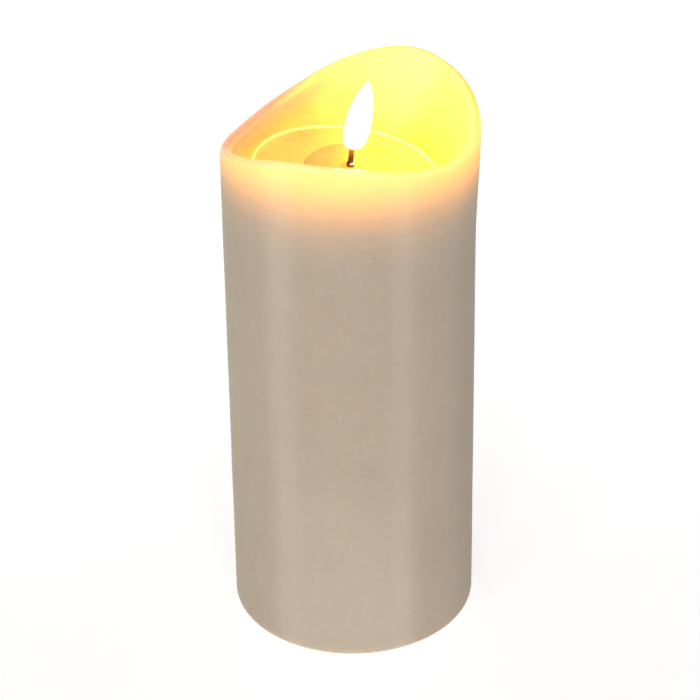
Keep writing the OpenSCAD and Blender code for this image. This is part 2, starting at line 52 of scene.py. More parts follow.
def corners(node):
    low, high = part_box(node)
    return np.array(low), np.array(high)


def vertices(node):
    mesh = nodes[node].data
    co = np.zeros(len(mesh.vertices) * 3)
    mesh.vertices.foreach_get("co", co)
    return co.reshape(-1, 3)


def parts(count, first=0):
    """Even shares of 1, up to and with 1."""
    return [k / count for k in range(first, count + 1)]


def ease(t):
    """A step from 0 to 1 with soft ends."""
    c = min(1.0, max(0.0, t))
    return c * c * (3 - 2 * c)


BODY_R = -corners("wax_shell")[0][0]          # the side that doesn't bulge
LIP_T, LIP_H = 3.4 * MM, 2.1 * MM             # the lip's thickness and the height of its round top
WELL_TAG = "well"
GLOW_LOW, GLOW_HIGH = 139 * MM, 171 * MM       # heights between which the wax glows brighter
BULGE, BULGE_Z, BULGE_RISE = 1.1 * MM, 130 * MM, 36 * MM
BOTTOM_ROUND = 2.2 * MM
BORE_R = corners("base_plate")[1][0] + 0.1 * MM
WELL_R = 16 * MM
WEB_Z = 141 * MM
RIM_STEPS = 12
WEAR = 0.12 * MM                               # depth of the soft hollows in the wax

# the lamp unit leans: its frame comes from the middle of the wick's two ends
wick = vertices("wick_tube")
wick_foot = wick[wick[:, 2] < wick[:, 2].min() + 0.3 * MM].mean(0)
wick_head = wick[wick[:, 2] > wick[:, 2].max() - 0.3 * MM].mean(0)
LEAN = math.atan2(wick_head[0] - wick_foot[0], wick_head[2] - wick_foot[2])
WICK_R = 0.85 * MM
WICK_LOW, WICK_GAP = -6.0 * MM, 6.0 * MM       # the tube's foot and the flame's foot, from the hub
HUB_TOP = Vector(wick_foot) - Vector((math.sin(LEAN), 0, math.cos(LEAN))) * WICK_LOW
POOL_R, POOL_SHIFT = 28.2 * MM, Vector((-1.25, -1.9)) * MM
HUB_R, HUB_SHIFT = 17.7 * MM, Vector((3.75, -1.7)) * MM
POOL_TOP, POOL_BOTTOM = -0.9 * MM, -2.12 * MM  # the plate's two faces, from the hub
LAMP = Matrix.Translation(HUB_TOP) @ Matrix.Rotation(LEAN, 4, "Y")


def rim_heights():
    co = vertices("wax_shell")
    angle = np.degrees(np.arctan2(co[:, 1], co[:, 0])) % 360
    heights = []
    for k in range(RIM_STEPS):
        apart = np.abs((angle - 360 / RIM_STEPS * k + 180) % 360 - 180)
        heights.append(co[apart < 1, 2].max())
    return heights


RIM = rim_heights()


def rim_z(a):
    u = math.degrees(a) % 360 / (360 / RIM_STEPS)
    i = int(u)
    p, q, r, s = (RIM[(i + k) % RIM_STEPS] for k in (-1, 0, 1, 2))
    f = u - i
    return q + 0.5 * f * (r - p + f * (2 * p - 5 * q + 4 * r - s + f * (3 * (q - r) + s - p)))


def outer_r(a, z):
    return BODY_R + BULGE * (1 + math.cos(a)) / 2 * ease((z - BULGE_Z) / BULGE_RISE)


def lamp_level(x, height):
    """World height of a level of the lamp's frame, at a place across the pillar."""
    return HUB_TOP.z + (height - (x - HUB_TOP.x) * math.sin(LEAN)) / math.cos(LEAN)


def pool_edge(a):
    """Distance from the pillar's axis to the disc's edge."""
    x, y = HUB_TOP.x + POOL_SHIFT.x, HUB_TOP.y + POOL_SHIFT.y
    reach = POOL_R + 0.04 * MM
    return (x * math.cos(a) + y * math.sin(a)
            + math.sqrt(reach ** 2 - (x * math.sin(a) - y * math.cos(a)) ** 2))


# ---------------------------------------------------------------- meshes

def smooth_object(name, bm):
    mesh = bpy.data.meshes.new(name)
    bmesh.ops.recalc_face_normals(bm, faces=bm.faces)
    bm.to_mesh(mesh)
    bm.free()
    mesh.polygons.foreach_set("use_smooth", [True] * len(mesh.polygons))
    obj = bpy.data.objects.new(name, mesh)
    bpy.context.scene.collection.objects.link(obj)
    return obj


def lofted(name, rings, loop=False):
    """A skin over rings of points, closed into a loop or with a cap at each end."""
    bm = bmesh.new()
    rows = [[bm.verts.new(p) for p in ring] for ring in rings]
    count = len(rows[0])
    for i in range(len(rows) if loop else len(rows) - 1):
        a, b = rows[i], rows[(i + 1) % len(rows)]
        for j in range(count):
            bm.faces.new((a[j], a[(j + 1) % count], b[(j + 1) % count], b[j]))
    if not loop:
        bm.faces.new(rows[0][::-1])
        bm.faces.new(rows[-1])
    return smooth_object(name, bm)


def ring(radius, z, sides, centre=(0, 0), squash=1.0):
    turns = (2 * math.pi * j / sides for j in range(sides))
    return [Vector((centre[0] + radius * math.cos(a), centre[1] + radius * squash * math.sin(a), z))
            for a in turns]


def in_lamp(rings):
    return [[LAMP @ p for p in r] for r in rings]


def stand_for(obj, node, material, body="candle"):
    obj.data.materials.append(material)
    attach(obj, body)
    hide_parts(node)
    return obj


# ---------------------------------------------------------------- materials

def rgba(*colour):
    return (*colour, 1.0)


class Nodes:
    """A short way to write a node material."""

    def __init__(self, name):
        self.material = bpy.data.materials.new(name)
        self.material.use_nodes = True
        self.tree = self.material.node_tree
        self.shader = self.tree.nodes["Principled BSDF"]
        self.place = self.tree.nodes.new("ShaderNodeTexCoord").outputs["Object"]

    def set(self, values):
        for socket, value in values.items():
            self.shader.inputs[socket].default_value = value

    def node(self, kind, inputs=(), **settings):
        n = self.tree.nodes.new(kind)
        for key, value in settings.items():
            setattr(n, key, value)
        for key, value in dict(inputs).items():
            if isinstance(value, bpy.types.NodeSocket):
                self.tree.links.new(value, n.inputs[key])
            else:
                n.inputs[key].default_value = value
        return n

    def link(self, output, socket):
        self.tree.links.new(output, self.shader.inputs[socket])

    def emit(self, colour, strength=1.0):
        self.link(colour, "Emission Color")
        self.set({"Emission Strength": strength})

    def noise(self, scale, detail=4, rough=0.5, place=None):
        return self.node("ShaderNodeTexNoise", {
            "Vector": place or self.place, "Scale": scale, "Detail": detail,
            "Roughness": rough}).outputs["Fac"]

    def ramp(self, fac, stops):
        n = self.node("ShaderNodeValToRGB", {"Fac": fac})
        while len(n.color_ramp.elements) < len(stops):
            n.color_ramp.elements.new(0.5)
        for element, (at, colour) in zip(n.color_ramp.elements, stops):
            element.position = at
            element.color = rgba(*colour)
        return n.outputs["Color"]

    def mix(self, fac, a, b, blend="MIX"):
        n = self.node("ShaderNodeMix", {0: fac, 6: a, 7: b}, data_type="RGBA", blend_type=blend)
        return n.outputs[2]

    def maths(self, op, *values):
        n = self.node("ShaderNodeMath", operation=op)
        for socket, value in zip(n.inputs, values):
            if isinstance(value, bpy.types.NodeSocket):
                self.tree.links.new(value, socket)
            else:
                socket.default_value = value
        return n.outputs[0]

    def spread(self, value, low, high, to_low=0.0, to_high=1.0, kind="SMOOTHSTEP"):
        """A value's range laid over another one, and held at the ends."""
        n = self.node("ShaderNodeMapRange", {"Value": value, "From Min": low, "From Max": high,
                                             "To Min": to_low, "To Max": to_high},
                      interpolation_type=kind)
        return n.outputs["Result"]

    def lamp_place(self):
        """The place in the lamp's leaning frame."""
        return self.node("ShaderNodeMapping", {"Vector": self.place, "Location": HUB_TOP,
                                               "Rotation": (0, LEAN, 0)},
                         vector_type="TEXTURE").outputs["Vector"]

    def reach(self, place, centre=(0, 0)):
        """Distance from an upright axis."""
        flat = self.node("ShaderNodeVectorMath", {0: place, 1: (1, 1, 0)}, operation="MULTIPLY")
        off = self.node("ShaderNodeVectorMath", {0: flat.outputs[0], 1: (*centre, 0)},
                        operation="DISTANCE")
        return off.outputs["Value"]

    def axis(self, which, place=None):
        return self.node("ShaderNodeSeparateXYZ", {"Vector": place or self.place}).outputs[which]

    def along(self, direction):
        """Distance along a direction from the origin."""
        return self.node("ShaderNodeVectorMath", {0: self.place, 1: direction},
                         operation="DOT_PRODUCT").outputs["Value"]

    def away(self, value, middle):
        """Distance of a value from a middle, to either side."""
        return self.maths("ABSOLUTE", self.maths("SUBTRACT", value, middle))

    def bump(self, height, distance, strength=1.0, normal=None):
        inputs = {"Height": height, "Distance": distance, "Strength": strength}
        if normal:
            inputs["Normal"] = normal
        return self.node("ShaderNodeBump", inputs).outputs["Normal"]


# upright light bands, painted reflections of the studio lamps, and darker sides, painted shade where the
# wall turns away from the front lamps: degrees round the wall from the front, half widths of the even and
# of the fading part, strength, tint
SHEEN_AND_SHADE_BANDS = [
    (-33, 0, 13, 0.13, rgba(0.95, 0.86, 0.75)), (24, 0, 10, 0.09, rgba(0.95, 0.86, 0.75)),
    (90, 6, 42, 0.5, rgba(0.30, 0.23, 0.15)), (-90, 6, 42, 0.35, rgba(0.50, 0.42, 0.20)),
]


def wax_colour(n, cloud, mottle, tag, pit):
    """Cloudy ivory outside; in the well a honey colour that is painted light from the lamp, deeper to one
    side.
    """
    base = n.ramp(cloud, [(0.3, (0.49, 0.40, 0.31)), (0.7, (0.53, 0.435, 0.34))])
    base = n.mix(n.spread(mottle, 0.35, 0.7, 0, 0.25), base, rgba(0.58, 0.49, 0.39))
    turn = n.maths("ARCTAN2", n.axis("X"), n.maths("MULTIPLY", n.axis("Y"), -1.0))
    # painted reflections and painted shade laid over the wax colour
    for at, even, fade, gain, tint in SHEEN_AND_SHADE_BANDS:
        stripe = n.spread(n.away(turn, math.radians(at)), math.radians(even), math.radians(fade), gain, 0)
        base = n.mix(stripe, base, tint)
    # painted light: the lower front of the wall is paler, where the front lamps and the floor light it
    # most
    front = n.spread(n.maths("ABSOLUTE", turn), math.radians(16), math.radians(38), 0.13, 0)
    low = n.spread(n.axis("Z"), 100 * MM, 10 * MM)
    base = n.mix(n.maths("MULTIPLY", front, low), base, rgba(0.95, 0.90, 0.78))
    base = n.mix(n.maths("MULTIPLY", pit, 0.5), base, rgba(0.85, 0.78, 0.66))
    # painted light: the well's honey colour stands for the lamp's warm light, deeper towards the right
    # and lower down
    pale = n.mix(cloud, rgba(0.60, 0.43, 0.21), rgba(0.64, 0.48, 0.25))
    deep = n.mix(cloud, rgba(0.60, 0.44, 0.10), rgba(0.64, 0.48, 0.13))
    honey = n.mix(n.spread(n.along((1, 0, -0.5)), -65 * MM, -54 * MM), pale, deep)
    return n.mix(n.spread(tag, 0.4, 1.1), base, honey)


def wall_glow(n, cloud):
    """Light from the lamp soaks into the top of the wall, less on the side that the flame leans from."""
    wavy = n.maths("ADD", n.axis("Z"), n.maths("MULTIPLY", n.maths("SUBTRACT", cloud, 0.5), 3 * MM))
    glow = n.ramp(n.spread(wavy, GLOW_LOW, GLOW_HIGH, kind="LINEAR"), [
        (0.0, (0.0, 0.0, 0.0)), (0.19, (0.04, 0.013, 0.0)), (0.35, (0.14, 0.048, 0.0)),
        (0.53, (0.42, 0.155, 0.0)), (0.65, (0.77, 0.30, 0.0)), (0.75, (1.0, 0.45, 0.0)),
        (0.91, (1.0, 0.64, 0.0)), (1.0, (1.0, 0.70, 0.02))])
    fade = n.spread(n.axis("X"), -BODY_R, BODY_R, 0.80, 1.0, kind="LINEAR")
    return n.mix(1.0, glow, fade, blend="MULTIPLY")


def lip_glow(n, tag):
    """The thin lip lets more light out: dimmest at the back left, brightest on the right."""
    lit = n.mix(n.spread(n.axis("X"), -32 * MM, 18 * MM, kind="LINEAR"),
                rgba(0.85, 0.60, 0.18), rgba(0.90, 0.82, 0.16))
    lit = n.mix(n.spread(n.axis("Y"), -15 * MM, 25 * MM), lit, rgba(0.90, 0.76, 0.06))
    outer = n.spread(tag, 0.75, 0.4)
    behind = n.maths("MULTIPLY", n.spread(n.axis("Y"), 0, 18 * MM), outer)
    lit = n.mix(behind, lit, rgba(0.88, 0.56, 0.10))
    dim = n.mix(outer, rgba(0.55, 0.02, 0.10), rgba(0.62, 0.38, 0.22))
    lit = n.mix(n.spread(n.along((0.9, -0.42, 0)), -34 * MM, -20 * MM), dim, lit)
    # painted highlight: the flame's reflection on top of the lip, straight in front of the flame
    painted_highlight = n.spread(n.away(n.axis("X"), 0.5 * MM), 5.5 * MM, 3.5 * MM)
    painted_highlight = n.maths("MULTIPLY", painted_highlight, n.spread(n.axis("Y"), -30 * MM, -34 * MM))
    painted_highlight = n.maths("MULTIPLY", painted_highlight, n.spread(n.away(tag, 0.54), 0.14, 0.07))
    return n.mix(painted_highlight, lit, rgba(1.0, 1.0, 0.85))


def wax_material():
    n = Nodes("ivory_wax")
    cloud = n.noise(38, 5, 0.6)
    mottle = n.noise(420, 4, 0.6)
    tag = n.node("ShaderNodeAttribute", attribute_name=WELL_TAG).outputs["Fac"]
    lip = n.maths("MULTIPLY", n.spread(tag, 0.0, 0.3), n.spread(tag, 1.35, 1.0))
    speck = n.node("ShaderNodeTexVoronoi", {"Vector": n.place, "Scale": 260}).outputs["Distance"]
    sparse = n.spread(n.noise(95, 2), 0.62, 0.68)
    pit = n.maths("MULTIPLY", n.spread(speck, 0.05, 0.16, 1, 0), sparse)
    n.link(wax_colour(n, cloud, mottle, tag, pit), "Base Color")
    n.set({"Subsurface Weight": 0.9, "Subsurface Scale": 4.5 * MM, "Subsurface Radius": (1.0, 0.55, 0.28),
           "IOR": 1.44, "Specular IOR Level": 0.08})
    melted = n.maths("MULTIPLY", lip, 0.26)
    n.link(n.maths("SUBTRACT", n.spread(mottle, 0.3, 0.7, 0.38, 0.52), melted), "Roughness")

    # painted light: the lamp's glow in the wall, lip and well is emitted by the wax itself
    bright = n.mix(lip, wall_glow(n, cloud), lip_glow(n, tag))
    well = n.mix(n.spread(tag, 1.5, 0.95), rgba(0.18, 0.17, 0.0), rgba(0.18, 0.17, 0.09))
    n.emit(n.mix(n.spread(tag, 0.8, 1.15), bright, well))

    grain = n.bump(n.noise(1500, 3, 0.6), 0.04 * MM)
    soft = n.bump(n.noise(120, 4, 0.55), 0.2 * MM, normal=grain)
    pitted = n.bump(pit, -0.3 * MM, normal=soft)
    plain = n.bump(n.noise(45, 2), 0.1 * MM)
    n.link(n.mix(n.spread(tag, 0.0, 0.3), pitted, plain), "Normal")
    return n.material


def pool_material():
    """Thin amber plastic: dim on the left, bright on the right, with light caught in its edge."""
    n = Nodes("melt_pool")
    swirl = n.noise(90, 4, 0.6)
    lamp = n.lamp_place()
    edge = n.spread(n.reach(lamp, POOL_SHIFT), 27.45 * MM, 27.65 * MM)
    hub = n.spread(n.reach(lamp, HUB_SHIFT), HUB_R + 0.3 * MM, HUB_R - 1.7 * MM)
    base = n.ramp(swirl, [(0.3, (0.78, 0.50, 0.13)), (0.7, (0.84, 0.58, 0.17))])
    # painted shade: the hub is coloured darker than the plate
    base = n.mix(hub, base, n.mix(swirl, rgba(0.58, 0.29, 0.09), rgba(0.66, 0.35, 0.11)))
    n.link(n.mix(edge, base, rgba(0.95, 0.90, 0.45)), "Base Color")
    n.set({"Subsurface Weight": 0.6, "Subsurface Scale": 1.5 * MM, "Subsurface Radius": (1.0, 0.6, 0.25),
           "IOR": 1.46})
    n.link(n.spread(swirl, 0.3, 0.7, 0.30, 0.42), "Roughness")

    # painted light: the plate's glow is emitted, dim on the left, bright on the right and brightest round
    # the wick, where lamp light leaks through
    glow = n.ramp(swirl, [(0.2, (0.14, 0.03, 0.035)), (0.8, (0.20, 0.05, 0.045))])
    across = n.axis("X", lamp)
    glow = n.mix(n.spread(across, -14 * MM, -25 * MM), glow, rgba(0.20, 0.20, 0.06))
    hub_right = n.mix(n.spread(across, 10 * MM, 16 * MM), rgba(0.40, 0.38, 0.0), rgba(0.40, 0.38, 0.06))
    right = n.mix(hub, rgba(0.40, 0.38, 0.03), hub_right)
    glow = n.mix(n.spread(across, -8 * MM, 12 * MM), glow, right)
    round_wick = n.spread(n.reach(lamp), 7 * MM, 1.2 * MM)
    glow = n.mix(round_wick, glow, rgba(0.75, 0.42, 0.03))
    n.emit(n.mix(edge, glow, rgba(0.45, 0.40, 0.10)))
    n.link(n.bump(n.noise(160, 3), 0.1 * MM), "Normal")
    return n.material


def flame_material():
    """Frosted plastic, lit from inside, a little redder at its foot and tip."""
    n = Nodes("lit_diffuser")
    level = n.spread(n.axis("Z"), 157 * MM, 180 * MM, kind="LINEAR")
    frost = n.noise(700, 3)
    glow = n.ramp(level, [(0.0, (1.0, 0.86, 0.50)), (0.25, (1.0, 0.90, 0.68)), (0.8, (1.0, 0.90, 0.70)),
                          (1.0, (1.0, 0.84, 0.58))])
    n.emit(n.mix(n.spread(frost, 0.3, 0.7, 0, 0.15), glow, rgba(1.0, 0.9, 0.7)), 1.7)
    n.set({"IOR": 1.5})
    n.link(n.ramp(frost, [(0.3, (0.93, 0.91, 0.86)), (0.7, (0.97, 0.95, 0.90))]), "Base Color")
    n.link(n.spread(frost, 0.3, 0.7, 0.4, 0.55), "Roughness")
    n.link(n.bump(frost, 0.05 * MM), "Normal")
    return n.material


def wick_material():
    """Charred at the foot; just under the flame, the flame's light is painted on as a warmer colour and a
    glow.
    """
    n = Nodes("charred_wick")
    fibre = n.noise(1800, 4, 0.7)
    char = n.ramp(fibre, [(0.3, (0.05, 0.012, 0.003)), (0.75, (0.16, 0.05, 0.015))])
    flame_lit = n.ramp(fibre, [(0.3, (0.30, 0.12, 0.04)), (0.75, (0.46, 0.21, 0.08))])
    # painted light: warmer colour and glow near the flame
    near = n.spread(n.axis("Z", n.lamp_place()), 2.5 * MM, WICK_GAP)
    n.link(n.mix(near, char, flame_lit), "Base Color")
    n.emit(n.mix(near, rgba(0, 0, 0), rgba(0.14, 0.06, 0.01)))
    n.link(n.spread(fibre, 0.3, 0.7, 0.45, 0.75), "Roughness")
    n.link(n.bump(fibre, 0.1 * MM), "Normal")
    return n.material


def ferrule_material():
    """Dark and glossy, with the flame's light caught on the side that the flame leans to."""
    n = Nodes("glossy_ferrule")
    soot = n.noise(2500, 3)
    n.link(n.ramp(soot, [(0.3, (0.05, 0.012, 0.004)), (0.7, (0.12, 0.035, 0.01))]), "Base Color")
    n.set({"IOR": 1.5, "Coat Weight": 1.0, "Coat Roughness": 0.15})
    n.link(n.spread(soot, 0.3, 0.7, 0.2, 0.35), "Roughness")
    n.link(n.bump(soot, 0.02 * MM), "Normal")
    # painted highlight: the flame's glint is emitted on the side that the flame leans to
    lamp = n.lamp_place()
    level = n.spread(n.away(n.axis("Z", lamp), 1.05 * MM), 0.38 * MM, 0.2 * MM)
    glint = n.maths("MULTIPLY", level, n.spread(n.axis("X", lamp), -0.3 * MM, 0.1 * MM))
    n.emit(n.mix(glint, rgba(0, 0, 0), rgba(1.0, 0.95, 0.75)))
    return n.material


def plastic_material(name, dark, light, rough=0.45):
    """Moulded plastic: uneven colour, fine spark-eroded grain, paler patches of dust."""
    n = Nodes(name)
    patch = n.noise(60, 4)
    base = n.ramp(patch, [(0.3, dark), (0.7, light)])
    fine = n.noise(2200, 2)
    dust = n.spread(n.noise(300, 5, 0.7), 0.6, 0.8, 0, 0.25)
    base = n.mix(dust, base, rgba(*(0.5 * c + 0.25 for c in light)))
    n.link(base, "Base Color")
    n.link(n.spread(n.noise(25, 3), 0.3, 0.7, rough - 0.06, rough + 0.08), "Roughness")
    n.set({"IOR": 1.48})
    n.link(n.bump(fine, 0.03 * MM), "Normal")
    return n.material


def metal_material(name, dark, light, rough=0.3):
    """Plated metal: brushed along its length, duller in patches."""
    n = Nodes(name)
    scratch = n.node("ShaderNodeMapping", {"Vector": n.place, "Scale": (1, 1, 14)}).outputs["Vector"]
    brushed = n.noise(900, 4, 0.6, place=scratch)
    n.link(n.ramp(n.noise(220, 4), [(0.3, dark), (0.7, light)]), "Base Color")
    n.set({"Metallic": 1.0})
    n.link(n.spread(brushed, 0.3, 0.7, rough - 0.08, rough + 0.15), "Roughness")
    n.link(n.bump(brushed, 0.01 * MM), "Normal")
    return n.material


def board_material():
    """Green solder mask over copper tracks."""
    n = Nodes("circuit_board")
    tracks = n.node("ShaderNodeTexVoronoi", {"Vector": n.place, "Scale": 420},
                    distance="MANHATTAN", feature="F2").outputs["Distance"]
    weave = n.noise(1600, 2)
    base = n.ramp(weave, [(0.3, (0.015, 0.12, 0.045)), (0.7, (0.02, 0.16, 0.06))])
    on_track = n.spread(tracks, 0.42, 0.46)
    n.link(n.mix(n.maths("MULTIPLY", on_track, 0.6), base, rgba(0.05, 0.26, 0.10)), "Base Color")
    n.link(n.spread(weave, 0.3, 0.7, 0.28, 0.4), "Roughness")
    n.link(n.bump(on_track, 0.04 * MM), "Normal")
    return n.material


def cell_material():
    """AA jacket: dark sleeve with a copper-coloured band at the plus end."""
    n = Nodes("cell_jacket")
    plus_end = float(corners("battery_1")[1][0])
    fine = n.noise(500, 3)
    sleeve = n.ramp(fine, [(0.3, (0.02, 0.02, 0.024)), (0.7, (0.035, 0.035, 0.04))])
    band = n.spread(n.axis("X"), plus_end - 16 * MM, plus_end - 15.8 * MM)
    copper = n.ramp(fine, [(0.3, (0.55, 0.26, 0.10)), (0.7, (0.66, 0.33, 0.14))])
    n.link(n.mix(band, sleeve, copper), "Base Color")
    n.set({"Metallic": 0.35, "Coat Weight": 0.4, "Coat Roughness": 0.1})
    n.link(n.spread(fine, 0.3, 0.7, 0.2, 0.3), "Roughness")
    n.link(n.bump(n.noise(80, 2), 0.05 * MM), "Normal")
    return n.material


# ---------------------------------------------------------------- pieces

def make_wax():
    """The pillar, with a tag on each ring: 0 on the wall, 0 to 1 over the lip, 1 to 2 down the well."""
    sides = 288
    turns = [2 * math.pi * j / sides for j in range(sides)]
    rings, tags = [], []

    def add(outline, tag=0.0):
        places = [(a, *outline(a)) for a in turns]
        rings.append([Vector((r * math.cos(a), r * math.sin(a), z)) for a, r, z in places])
        tags.append(tag)

    def worn(a, z):
        """How far a soft hollow takes the surface in, at an angle and height."""
        p = Vector((math.cos(a) * BODY_R, math.sin(a) * BODY_R, z))
        return WEAR * (0.5 + 0.5 * noise.fractal(p * 35, 1.0, 2.0, 3))

    def foot(a, t):
        r = BODY_R - BOTTOM_ROUND + BOTTOM_ROUND * math.cos(t)
        return r - worn(a, 0) * max(0.0, math.cos(t)), BOTTOM_ROUND + BOTTOM_ROUND * math.sin(t)

    def wall(a, z):
        return outer_r(a, z) - worn(a, z), z

    def lip(a, t):
        low = rim_z(a) - LIP_H
        z = low + LIP_H * math.sin(t)
        r = outer_r(a, z) - LIP_T / 2 + LIP_T / 2 * math.cos(t)
        return r - worn(a, low) * max(0.0, math.cos(t)), z - worn(a, 1) * math.sin(t)

    def bowl(a, t):
        lip_z = rim_z(a) - LIP_H
        top_r = outer_r(a, lip_z) - LIP_T
        edge = pool_edge(a)
        r = edge + (top_r - edge) * (1 - t) ** 1.8
        z = lip_z + (lamp_level(edge * math.cos(a), POOL_TOP - 0.1 * MM) - lip_z) * t
        return r + worn(a, z + 2) * math.sin(math.pi * t), z

    add(lambda a: (BORE_R, 0.6 * MM))
    add(lambda a: (BORE_R + 0.6 * MM, 0))
    for share in parts(8):
        add(lambda a, t=math.pi / 2 * (share - 1): foot(a, t))
    for share in parts(63, 1):
        add(lambda a, z=BOTTOM_ROUND + (BULGE_Z - BOTTOM_ROUND) * share: wall(a, z))
    for share in parts(18, 1)[:-1]:
        add(lambda a, t=share: wall(a, BULGE_Z + (rim_z(a) - LIP_H - BULGE_Z) * t))
    for share in parts(16):
        add(lambda a, t=math.pi * share: lip(a, t), share)
    for share in parts(24, 1):
        add(lambda a, t=share: bowl(a, t), 1 + share)
    # the ledge under the disc, from its edge in to the hole for the lamp
    for t in parts(4):
        ledge = []
        for a in turns:
            edge = pool_edge(a)
            x = edge * math.cos(a) * (1 - t) + (HUB_TOP.x + WELL_R * math.cos(a)) * t
            y = edge * math.sin(a) * (1 - t) + (HUB_TOP.y + WELL_R * math.sin(a)) * t
            ledge.append(Vector((x, y, lamp_level(x, POOL_BOTTOM))))
        rings.append(ledge)
        tags.append(2.0)
    rings.append([Vector((p.x, p.y, WEB_Z)) for p in rings[-1]])
    tags.append(0.0)
    add(lambda a: (BORE_R, WEB_Z))
    obj = lofted("wax_pillar", rings, loop=True)
    values = np.repeat(np.array(tags, np.float32), sides)
    obj.data.attributes.new(WELL_TAG, "FLOAT", "POINT").data.foreach_set("value", values)
    return stand_for(obj, "wax_shell", wax_material())


def make_pool():
    """The disc: a hub round the wick, a slope down to the plate and a rounded bead at its edge."""
    sides = 160
    r, off = POOL_R, POOL_SHIFT
    bottom = POOL_BOTTOM + 0.02 * MM
    edge_w, edge_h, slope = 0.6 * MM, 0.7 * MM, 1.0 * MM
    centre = Vector((0, 0))
    profile = [(WICK_R + 0.1 * MM, bottom, centre), (WICK_R + 0.1 * MM, -0.1 * MM, centre),
               (WICK_R + 0.25 * MM, 0, centre), (8 * MM, 0, HUB_SHIFT), (HUB_R - slope, 0, HUB_SHIFT)]
    profile += [(HUB_R - slope + slope * t, POOL_TOP * ease(t), HUB_SHIFT) for t in parts(6, 1)]
    profile += [(HUB_R + (r - edge_w - HUB_R) * t, POOL_TOP, HUB_SHIFT.lerp(off, t))
                for t in (0.06, 0.25, 0.5, 0.75, 0.94)]
    profile.append((r - edge_w, POOL_TOP + 0.1 * MM, off))
    for share in parts(8, 1):
        t = math.pi * share
        profile.append((r - edge_w / 2 - edge_w / 2 * math.cos(t),
                        POOL_TOP + edge_h - edge_w / 2 + edge_w / 2 * math.sin(t), off))
    profile += [(r, POOL_TOP, off), (r, bottom + 0.2 * MM, off), (r - 0.2 * MM, bottom, off)]
    rings = [ring(rad, z, sides, at) for rad, z, at in profile]
    obj = lofted("pool_plate", in_lamp(rings), loop=True)
    return stand_for(obj, "pool_disc", pool_material())


FLAME_H, FLAME_W, FLAME_SKIN = 22.3 * MM, 7.7 * MM, 0.9 * MM
WIDEST, FOOT_POWER, TIP_POWER, TIP_ROUND = 0.32, 3.1, 2.17, 0.87


def flame_half(s):
    """Half the flame's width at a share of its height."""
    if s < WIDEST:
        return FLAME_W / 2 * (1 - (1 - s / WIDEST) ** FOOT_POWER) ** (1 / FOOT_POWER)
    return FLAME_W / 2 * (1 - ((s - WIDEST) / (1 - WIDEST)) ** TIP_POWER) ** TIP_ROUND


def make_flame():
    sides = 64

    def level(s, half):
        shift = (0.33 + 2.34 * s ** 1.25) * MM
        return ring(half, WICK_GAP + FLAME_H * s, sides, (shift, 0), 0.92)

    # rings from the tip down, closer together where the outline turns, and back up inside
    outside = [1 - 0.004 * (k + 1) ** 1.5 for k in range(14)]
    outside += [0.78 - 0.74 * k / 26 for k in range(27)] + [0.025, 0.012]
    inside = [0.1 + 0.75 * k / 20 for k in range(21)]
    socket = WICK_R + 0.02 * MM
    rings = [level(s, flame_half(s)) for s in outside]
    rings += [ring(socket, WICK_GAP, sides), ring(socket, WICK_GAP + 1.2 * MM, sides)]
    rings += [level(s, max(0.3 * MM, flame_half(s) - FLAME_SKIN)) for s in inside]
    obj = lofted("flame_shell", in_lamp(rings))
    obj.visible_shadow = False
    obj.visible_glossy = False
    return stand_for(obj, "flame_lens", flame_material())


def make_wick():
    """Three charred strands wound round the tube that carries the flame."""
    sides, levels = 48, 70
    high = WICK_GAP + 1.2 * MM
    outer, inner = [], []
    for share in parts(levels):
        z = WICK_LOW + (high - WICK_LOW) * share
        seen = ease((z - 0.1 * MM) / (0.6 * MM)) * ease((WICK_GAP - z) / (0.6 * MM))
        row = []
        for j in range(sides):
            a = 2 * math.pi * j / sides
            groove = 1 - abs(math.cos(1.5 * (a - z / MM * 1.3)))
            r = WICK_R * (1 - seen * (0.13 * groove + 0.05 * noise.noise(Vector((a, z * 900, 0)))))
            row.append(Vector((r * math.cos(a), r * math.sin(a), z)))
        outer.append(row)
        inner.append(ring(WICK_R - 0.25 * MM, z, sides))
    obj = lofted("twisted_wick", in_lamp(outer + inner[::-1]), loop=True)
    return stand_for(obj, "wick_tube", wick_material())


def make_ferrule():
    """A domed ring round the wick's foot; its profile is measured from the wick's face."""
    sides = 48
    gap, wide, tall, dome = 0.01 * MM, 0.35 * MM, 1.3 * MM, 0.75 * MM
    profile = [(gap, 0.0), (wide, 0.0), (wide, 0.3 * MM)]
    for share in parts(16):
        t = math.pi / 2 * share
        profile.append((gap + (wide - gap) * math.cos(t), tall - dome + dome * math.sin(t)))
    obj = lofted("wick_ferrule", in_lamp([ring(WICK_R + r, z, sides) for r, z in profile]), loop=True)
    return stand_for(obj, "wick_collar", ferrule_material())


# ---------------------------------------------------------------- CAD nodes' materials

